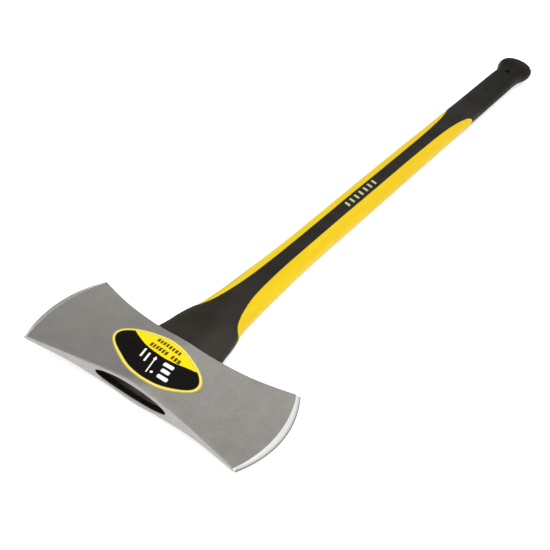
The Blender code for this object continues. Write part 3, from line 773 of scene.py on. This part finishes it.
def strip_edge(y, extra=0.0, right=True):
    """Angle of the strip's edge on the oval, from the side (0) up."""
    y = max(WINDOW[0], min(WINDOW[1], y))
    w, m = smooth(HANDLE, y), smooth(HANDLE, y, 3)
    share = min(0.99995, max(0.02, (smooth(STRIP_R if right else STRIP_L, y) + extra) / w))
    return math.acos(share ** (m / 2))


def bend(x, y):
    share = max(0.0, 1 - (y - HANDLE[0][0]) / BLEND_OVER)
    share = share * share * (3 - 2 * share)
    return y * MM + share * (handle_side(x) - WAIST_HANDLE)


def sector_angles(y, yellow):
    """Angles round the ring. +X side first (-edge to +edge), then the broad face, and so on."""
    out = []
    inset = [0.14 + d for d in NEAR] if yellow else [-0.06 - d for d in NEAR]
    edges = [[strip_edge(y, d, right) for d in inset] for right in (True, False)]
    for turn, (here, there) in ((0.0, edges), (math.pi, edges[::-1])):
        e = here[0]
        if yellow:
            first = [-a for a in here]
            side = first + [first[-1] + 2 * here[-1] * k / (SIDE - 8) for k in range(1, SIDE - 8)]
            side += list(reversed(here[1:]))
            top = [e + (math.pi - e - there[0]) * k / TOP for k in range(TOP)]
        else:
            side = [-e + 2 * e * k / SIDE for k in range(SIDE)]
            lo, hi = here[-1], math.pi - there[-1]
            top = here + [lo + (hi - lo) * k / (TOP - 8) for k in range(1, TOP - 8)]
            top += [math.pi - a for a in reversed(there[1:])]
        out += [a + turn for a in side + top]
    return out


def even_angles():
    e = 2 * math.pi / COUNT
    start = -e * SIDE / 2
    return [start + e * k for k in range(COUNT)]


EVEN = even_angles()


def on_oval(a, w, h, m):
    c, s = math.cos(a), math.sin(a)
    return (w * math.copysign(abs(c) ** (2 / m), c), h * math.copysign(abs(s) ** (2 / m), s))


def grip_relief(y, a, x, arc):
    """mm below the smooth grip: knurled sides, ribs along the broad faces, ribbed butt."""
    drop = 0.0
    zone = ramp(y, 650, 664) * (1 - ramp(y, 770, 783))
    if zone > 0:
        side = ramp(abs(math.cos(a)), 0.42, 0.66)
        p = 3.1
        k = max(math.cos(2 * math.pi * (y + arc) / p), math.cos(2 * math.pi * (y - arc) / p))
        drop += zone * side * 0.26 * ramp(k, 0.1, 0.95)
        band = 1 - ramp(abs(x), 6.2, 7.6)
        drop += zone * band * (0.05 + 0.17 * (0.5 - 0.5 * math.cos(2 * math.pi * x / 2.45)))
        lip = math.exp(-((abs(x) - 7.7) / 0.7) ** 2)
        drop += zone * lip * 0.16
    if y > 833:
        f = ramp(y, 834.5, 838.5) * (1 - 0.25 * ramp(y, 844.5, 846))
        drop += f * 0.30 * ramp(math.cos(a * 34), 0.15, 0.9)
    return drop


def ring_at(y, yellow=False, section=HANDLE, grow=0.0, like=None, relief=False):
    w, h, m = (smooth(section, y, c) for c in (1, 2, 3))
    w, h = w + grow, h + grow
    angles = sector_angles(y, yellow)
    inside = WINDOW[0] - 1e-6 <= y <= WINDOW[1] + 1e-6
    if not inside and not yellow:
        out = WINDOW[0] - y if y < WINDOW[0] else y - WINDOW[1]
        f = ramp(out, 0.0, 13.0)
        angles = [a + (b - a) * f for a, b in zip(angles, EVEN)]
    half = SIDE + TOP
    drops = [0.0] * COUNT
    if inside and section is HANDLE:
        profile = [ROUND - math.sqrt(max(0.0, ROUND ** 2 - (ROUND - d) ** 2)) for d in NEAR]
        fade = min(1.0, (y - WINDOW[0]) / 1.2, (WINDOW[1] - y) / 1.2)
        for base in (0, half):
            for j, drop in enumerate(profile):
                if yellow:
                    drops[base + j] = drop * fade
                    drops[(base + SIDE - j) % COUNT] = drop * fade
                else:
                    drops[base + SIDE + j] = drop * fade
                    drops[(base + half - j) % COUNT] = drop * fade
    if relief and not inside:
        base = [on_oval(a, w, h, m) for a in angles]
        arcs, total = [0.0], 0.0
        for k in range(1, COUNT):
            total += math.dist(base[k - 1], base[k])
            arcs.append(total)
        total += math.dist(base[-1], base[0])
        # measured from the middle of the +X side, and mirrored, so that the pattern closes
        zero = arcs[SIDE // 2]
        for k, a in enumerate(angles):
            s = (arcs[k] - zero) % total
            s = min(s, total - s)
            s = min(s, total / 2 - s)
            drops[k] += grip_relief(y, a, base[k][0], s)
    points, shift = [], smooth(AXIS, y)
    for k, a in enumerate(angles):
        if like is None:
            x, z = on_oval(a, w - drops[k], h - drops[k], m)
        else:
            x, z = like[k].x / MM - shift, like[k].z / MM
            f = ((abs(x) / w) ** m + (abs(z) / h) ** m) ** (-1 / m)
            x, z = x * f, z * f
        points.append(Vector(((x + shift) * MM, bend(x * MM, y), z * MM)))
    return points


def is_side(k):
    return k % (SIDE + TOP) < SIDE


def window_rows():
    ys = spread(WINDOW[0], 82, 0.85)[:-1] + spread(82, 120, 1.6)[:-1] + spread(120, 200, 3.2)[:-1]
    ys += spread(200, 520, 8.0)[:-1] + spread(520, 600, 3.2)[:-1] + spread(600, 627, 1.5)[:-1]
    ys += spread(627, WINDOW[1], 0.7)
    return ys


def build_overmould():
    front = spread(HANDLE[0][0], WINDOW[0], 1.25)[:-1]
    middle = window_rows()
    back = spread(WINDOW[1], 650, 0.9)[1:-1] + spread(650, 784, 0.72)[:-1]
    back += spread(784, 834, 1.1)[:-1] + spread(834, 841, 0.7)[:-1] + spread(841, 846, 0.42)
    ys = front + middle + back
    # rounded rim next to the head
    rings = []
    for j, (d, drop) in enumerate(((0.0, 0.75), (0.12, 0.42), (0.3, 0.18), (0.6, 0.0))):
        rings.append(ring_at(ys[0] + d, grow=-drop))
    rings += [ring_at(y, relief=True) for y in ys[1:]]
    ys = [ys[0] + d for d in (0.0, 0.12, 0.3, 0.6)] + ys[1:]
    # the butt's end: a shallow dished face
    last = rings[-1]
    centre = Vector((smooth(AXIS, BUTT) * MM, BUTT * MM, 0))
    for share, dip in ((0.93, 0.0), (0.86, 0.12), (0.8, 0.45), (0.6, 0.6), (0.35, 0.62), (0.12, 0.62)):
        rings.append([centre + Vector(((p.x - centre.x) * share, -dip * MM, p.z * share)) for p in last])
    end_ys = ys + [900.0] * 6
    inner_front = [HANDLE[0][0], 36, 41, 47, 54, 62, 69]
    inner_back = [640, 648, 660, 690, 720, 750, 775, 788, 800, 812, 820, JACKET_END + 0.3]
    ys_in = inner_front + middle + inner_back
    inner = []
    for y in ys_in:
        shape = ring_at(min(y, 845.0))
        if WINDOW[0] - 1e-6 <= y <= WINDOW[1] + 1e-6:
            inner.append(ring_at(y, section=JACKET, grow=0.3, like=shape))
        else:
            inner.append(ring_at(y, section=JACKET, grow=0.3, like=shape))
    verts = [p for ring in rings + inner for p in ring]
    base = len(rings) * COUNT
    faces = []

    def skin(rows, offset):
        for r in range(len(rows) - 1):
            inside = WINDOW[0] - 1e-6 <= rows[r] and rows[r + 1] <= WINDOW[1] + 1e-6
            for k in range(COUNT):
                if inside and is_side(k):
                    continue
                n = (k + 1) % COUNT
                a, b = offset + r * COUNT, offset + (r + 1) * COUNT
                faces.append((a + k, a + n, b + n, b + k))

    skin(end_ys, 0)
    skin(ys_in, base)
    faces.append(tuple(range((len(rings) - 1) * COUNT, len(rings) * COUNT)))
    faces.append(tuple(range(base + (len(inner) - 1) * COUNT, base + len(inner) * COUNT)))
    for k in range(COUNT):
        n = (k + 1) % COUNT
        faces.append((k, n, base + n, base + k))
    o1, i1 = end_ys.index(middle[0]), ys_in.index(middle[0])
    rows = len(middle)
    for k in range(COUNT):
        if is_side(k):
            n = (k + 1) % COUNT
            for d in (0, rows - 1):
                a, b = (o1 + d) * COUNT, base + (i1 + d) * COUNT
                faces.append((a + k, a + n, b + n, b + k))
    half = SIDE + TOP
    for k in (0, SIDE, half, half + SIDE):
        for d in range(rows - 1):
            a, b = (o1 + d) * COUNT + k, base + (i1 + d) * COUNT + k
            faces.append((a, a + COUNT, b + COUNT, b))
    return make("grip_overmould", verts, faces, (RUBBER,))


def build_jacket():
    """Tongue, body and the two side panels with rounded edges, in one closed skin."""
    start = HANDLE[0][0]
    panel = (WINDOW[0] + 0.35, WINDOW[1] - 0.35)
    rows = [panel[0]] + [y for y in window_rows() if panel[0] + 0.2 < y < panel[1] - 0.2] + [panel[1]]

    def body(y, at=None):
        shape = ring_at(at if at is not None else y, yellow=True)
        return ring_at(y, yellow=True, section=JACKET, like=shape)

    rings = []
    like = body(start, panel[0])
    for y in (TONGUE_END, -10 * MM, 10 * MM, 23.3 * MM, 30.9 * MM):
        cx, a, b = eye_at(y)
        a, b = a - 2.0 * MM, b - 2.0 * MM
        ring = []
        for p in like:
            k = ((p.x / a) ** 2 + (p.z / b) ** 2) ** -0.5
            ring.append(Vector((cx + p.x * k, y, p.z * k)))
        rings.append((None, ring))
    for y in [start, 36, 41, 47, 54, 62, 69]:
        rings.append((None, body(y, panel[0])))
    rings.append((None, body(panel[0])))
    for y in rows:
        rings.append((ring_at(y, yellow=True), body(y)))
    rings.append((None, body(panel[1])))
    for y in [640, 648, 660, 700, 750, 785, 805, 820, JACKET_END]:
        rings.append((None, body(y, panel[1])))
    verts, index = [], []
    for pair in rings:
        rows_ = []
        for part in pair:
            if part is None:
                rows_.append(None)
            else:
                rows_.append(len(verts))
                verts.extend(part)
        index.append(rows_)
    half = SIDE + TOP
    faces = []
    for r in range(len(rings) - 1):
        (oa, ia), (ob, ib) = index[r], index[r + 1]
        both = oa is not None and ob is not None
        if (oa is None) != (ob is None):
            continue
        for k in range(COUNT):
            n = (k + 1) % COUNT
            if both and is_side(k):
                faces.append((oa + k, oa + n, ob + n, ob + k))
            else:
                faces.append((ia + k, ia + n, ib + n, ib + k))
        if both:
            for k in (0, SIDE, half, half + SIDE):
                faces.append((oa + k, ob + k, ib + k, ia + k))
    first = next(i for i, (o, _) in enumerate(index) if o is not None)
    last = max(i for i, (o, _) in enumerate(index) if o is not None)
    for r in (first, last):
        o, i = index[r]
        for k in range(COUNT):
            if is_side(k):
                n = (k + 1) % COUNT
                faces.append((o + k, o + n, i + n, i + k))
    faces.append(tuple(range(COUNT)))
    end = index[-1][1]
    faces.append(tuple(range(end, end + COUNT)))
    obj = make("yellow_jacket", verts, faces, (YELLOW, RUBBER), doubles=1e-6)
    return obj


def hole_cutter(name, slot, flare):
    rings = []
    count = 48
    steps = ([(-17, 6.9), (-14.6, 5.9), (-13.1, 4.75), (-12.6, 4.3), (-12.0, 4.0)] if flare else [(-14, 4.0)])
    profile = steps + [(-z, r) for z, r in reversed(steps)]
    for z, r in profile:
        rings.append([Vector(((HOLE_X + r * math.cos(2 * math.pi * k / count)) * MM,
                              (HOLE_Y + r * math.sin(2 * math.pi * k / count)) * MM, z * MM))
                      for k in range(count)])
    faces = []
    for i in range(len(rings) - 1):
        for k in range(count):
            n = (k + 1) % count
            faces.append((i * count + k, i * count + n, (i + 1) * count + n, (i + 1) * count + k))
    faces += [tuple(range(count)), tuple(range((len(rings) - 1) * count, len(rings) * count))]
    return make(name, [p for ring in rings for p in ring], faces, (YELLOW, RUBBER) if slot else (RUBBER,),
                [slot] * len(faces))


# ----------------------------------------------------------------------- decal
def build_label():
    around, across_n = 144, 22
    c, s = math.cos(LABEL_TURN), math.sin(LABEL_TURN)

    def spot(share, k):
        a = 2 * math.pi * k / around
        r = LABEL_WAVE[0] + sum(LABEL_WAVE[2 * i - 1] * math.cos(i * a) + LABEL_WAVE[2 * i] * math.sin(i * a)
                                for i in range(1, 5))
        return LABEL_HALF[0] * share * r * math.cos(a), LABEL_HALF[1] * share * r * math.sin(a)

    def place(p, q, lift):
        x = (LABEL_CENTRE[0] + c * p - s * q) * MM
        y = (LABEL_CENTRE[1] + s * p + c * q) * MM
        return Vector((x, y, cheek_z(x, y) + lift * MM))

    verts, flat, faces = [], [], []
    shares = [k / across_n for k in range(1, across_n)] + [0.985, 0.996, 1.0]
    lifts = [0.22] * (across_n - 1) + [0.22, 0.20, 0.15]
    for low in (False, True):
        verts.append(place(0, 0, 0.03 if low else 0.22))
        flat.append((0, 0))
        for share, lift in zip(shares, lifts):
            for k in range(around):
                p, q = spot(share, k)
                verts.append(place(p, q, 0.03 if low else lift))
                flat.append((p, q))
    rows = len(shares)
    layer = 1 + rows * around
    for base in (0, layer):
        for k in range(around):
            n = (k + 1) % around
            faces.append((base, base + 1 + k, base + 1 + n))
            for r in range(rows - 1):
                a, b = base + 1 + r * around, base + 1 + (r + 1) * around
                faces.append((a + k, b + k, b + n, a + n))
    rim = 1 + (rows - 1) * around
    for k in range(around):
        n = (k + 1) % around
        faces.append((rim + k, rim + n, layer + rim + n, layer + rim + k))
    obj = make("head_decal", verts, faces, (DECAL,))
    uv = obj.data.uv_layers.new(name="Decal")
    rim = obj.data.uv_layers.new(name="Rim")
    for loop in obj.data.loops:
        p = obj.data.vertices[loop.vertex_index].co - PLACE
        dx, dy = p.x / MM - LABEL_CENTRE[0], p.y / MM - LABEL_CENTRE[1]
        p, q = c * dx + s * dy, c * dy - s * dx
        uv.data[loop.index].uv = (p / 100, q / 100)
        a = math.atan2(q / LABEL_HALF[1], p / LABEL_HALF[0])
        r = LABEL_WAVE[0] + sum(LABEL_WAVE[2 * i - 1] * math.cos(i * a) + LABEL_WAVE[2 * i] * math.sin(i * a)
                                for i in range(1, 5))
        full = math.hypot(LABEL_HALF[0] * r * math.cos(a), LABEL_HALF[1] * r * math.sin(a))
        # mm to the outline, square to it as on an ellipse with these axes
        nx, ny = math.cos(a) / LABEL_HALF[0], math.sin(a) / LABEL_HALF[1]
        slant = r / (full * math.hypot(nx, ny))
        rim.data[loop.index].uv = ((full - math.hypot(p, q)) * slant / 100, 0.0)
    shade(obj, 50)
    return obj


# ------------------------------------------------------------------------ main
def adopt(obj, node):
    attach(obj, "root")
    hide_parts(node)


def paint(node, mat):
    mesh = NODES[node].data
    if not mesh.materials:
        mesh.materials.append(mat)
    for i in range(len(mesh.materials)):
        mesh.materials[i] = mat


head = build_head()
adopt(head, "axe_head")

resin = build_resin()
adopt(resin, "eye_resin")

overmould = build_overmould()
cut(overmould, hole_cutter("hole_a", 0, True))
tidy(overmould)
shade(overmould, 36)
adopt(overmould, "overmould")

jacket = build_jacket()
cut(jacket, hole_cutter("hole_b", 1, False))
tidy(jacket)
for face in jacket.data.polygons:                # the hole's wall and mouth are black
    spots = [jacket.data.vertices[i].co - PLACE for i in face.vertices]
    if any(math.hypot(v.x / MM - HOLE_X, v.y / MM - HOLE_Y) < HOLE_R + 0.1 for v in spots):
        face.material_index = 1
shade(jacket, 36)
adopt(jacket, "handle_jacket")

label = build_label()
adopt(label, "head_label")

paint("core_rod", GLASS)
paint("eye_seal", FOAM)
for name, mat in (("axe_head", CHEEK), ("eye_resin", RESIN), ("overmould", RUBBER),
                  ("handle_jacket", YELLOW), ("head_label", DECAL)):
    paint(name, mat)

# ------------------------------------------------------------------ floor, light
floor_mesh = bpy.data.meshes.new("floor")
floor_mesh.from_pydata([(-9, -9, 0), (9, -9, 0), (9, 9, 0), (-9, 9, 0)], [], [(0, 1, 2, 3)])
floor = bpy.data.objects.new("floor", floor_mesh)
floor.location.z = -0.0002
bpy.context.scene.collection.objects.link(floor)
f = Nodes("studio_floor", (0.9, 0.9, 0.9))
f.out(colour=(0.80, 0.80, 0.80), rough=0.9, specular=0.1)
f.shader.inputs["Emission Color"].default_value = (1, 1, 1, 1)
f.shader.inputs["Emission Strength"].default_value = 0.56
floor_mesh.materials.append(f.mat)

world = bpy.data.worlds.new("studio")
bpy.context.scene.world = world
world.use_nodes = True
wt = world.node_tree
back_node = wt.nodes["Background"]
coord = wt.nodes.new("ShaderNodeTexCoord")
dot = wt.nodes.new("ShaderNodeVectorMath")
dot.operation = "DOT_PRODUCT"
dot.inputs[1].default_value = (0.94, 0.0, 0.34)
wt.links.new(coord.outputs["Generated"], dot.inputs[0])
wr = wt.nodes.new("ShaderNodeMapRange")
wr.inputs["From Min"].default_value = -1.0
wr.inputs["From Max"].default_value = 1.0
wt.links.new(dot.outputs["Value"], wr.inputs["Value"])
cr = wt.nodes.new("ShaderNodeValToRGB")
cr.color_ramp.interpolation = "EASE"
stops = [(0.0, 0.62), (0.23, 0.30), (0.37, 0.68), (0.51, 1.03), (0.64, 1.16), (1.0, 1.1)]
while len(cr.color_ramp.elements) < len(stops):
    cr.color_ramp.elements.new(0.5)
for element, (place, value) in zip(cr.color_ramp.elements, stops):
    element.position = place
    element.color = (value, value, value * 0.995, 1)
wt.links.new(wr.outputs["Result"], cr.inputs["Fac"])
wt.links.new(cr.outputs["Color"], back_node.inputs["Color"])
back_node.inputs["Strength"].default_value = 0.82


def area(name, at, aim, size, power, colour=(1, 1, 1)):
    light = bpy.data.lights.new(name, "AREA")
    light.shape, light.size, light.energy, light.color = "DISK", size, power, colour
    obj = bpy.data.objects.new(name, light)
    obj.location = at
    obj.rotation_mode = "QUATERNION"
    obj.rotation_quaternion = (Vector(aim) - Vector(at)).to_track_quat("-Z", "Y")
    bpy.context.scene.collection.objects.link(obj)
    return obj


area("key", (0.30, -0.35, 2.5), (0, -0.3, 0), 1.5, 24)
area("fill", (-1.9, -0.6, 1.5), (0, 0, 0), 1.8, 14)
area("front", (0.6, -2.2, 1.2), (0, -0.3, 0), 1.4, 10)

# ----------------------------------------------------------------------- camera
az, el, roll = (math.radians(v) for v in (28.30362, 39.29564, 9.15733))
back = Vector((math.sin(az) * math.cos(el), -math.cos(az) * math.cos(el), math.sin(el)))
right = Vector((math.cos(az), math.sin(az), 0))
up = right.cross(-back)
r2 = math.cos(roll) * right + math.sin(roll) * up
u2 = -math.sin(roll) * right + math.cos(roll) * up
cam_data = bpy.data.cameras.new("camera")
cam_data.sensor_width = 36.0
cam_data.lens = 917.9757 / 550 * 36.0
cam_data.clip_start, cam_data.clip_end = 0.01, 60
cam = bpy.data.objects.new("camera", cam_data)
cam.matrix_world = Matrix((
    (r2.x, u2.x, back.x, 0.34978656),
    (r2.y, u2.y, back.y, -0.8634),
    (r2.z, u2.z, back.z, 0.6152935),
    (0, 0, 0, 1)))
bpy.context.scene.collection.objects.link(cam)
bpy.context.scene.camera = cam

scene = bpy.context.scene
scene.view_settings.view_transform = "Standard"
scene.view_settings.look = "None"
scene.view_settings.exposure = 0.0
scene.view_settings.gamma = 1.0
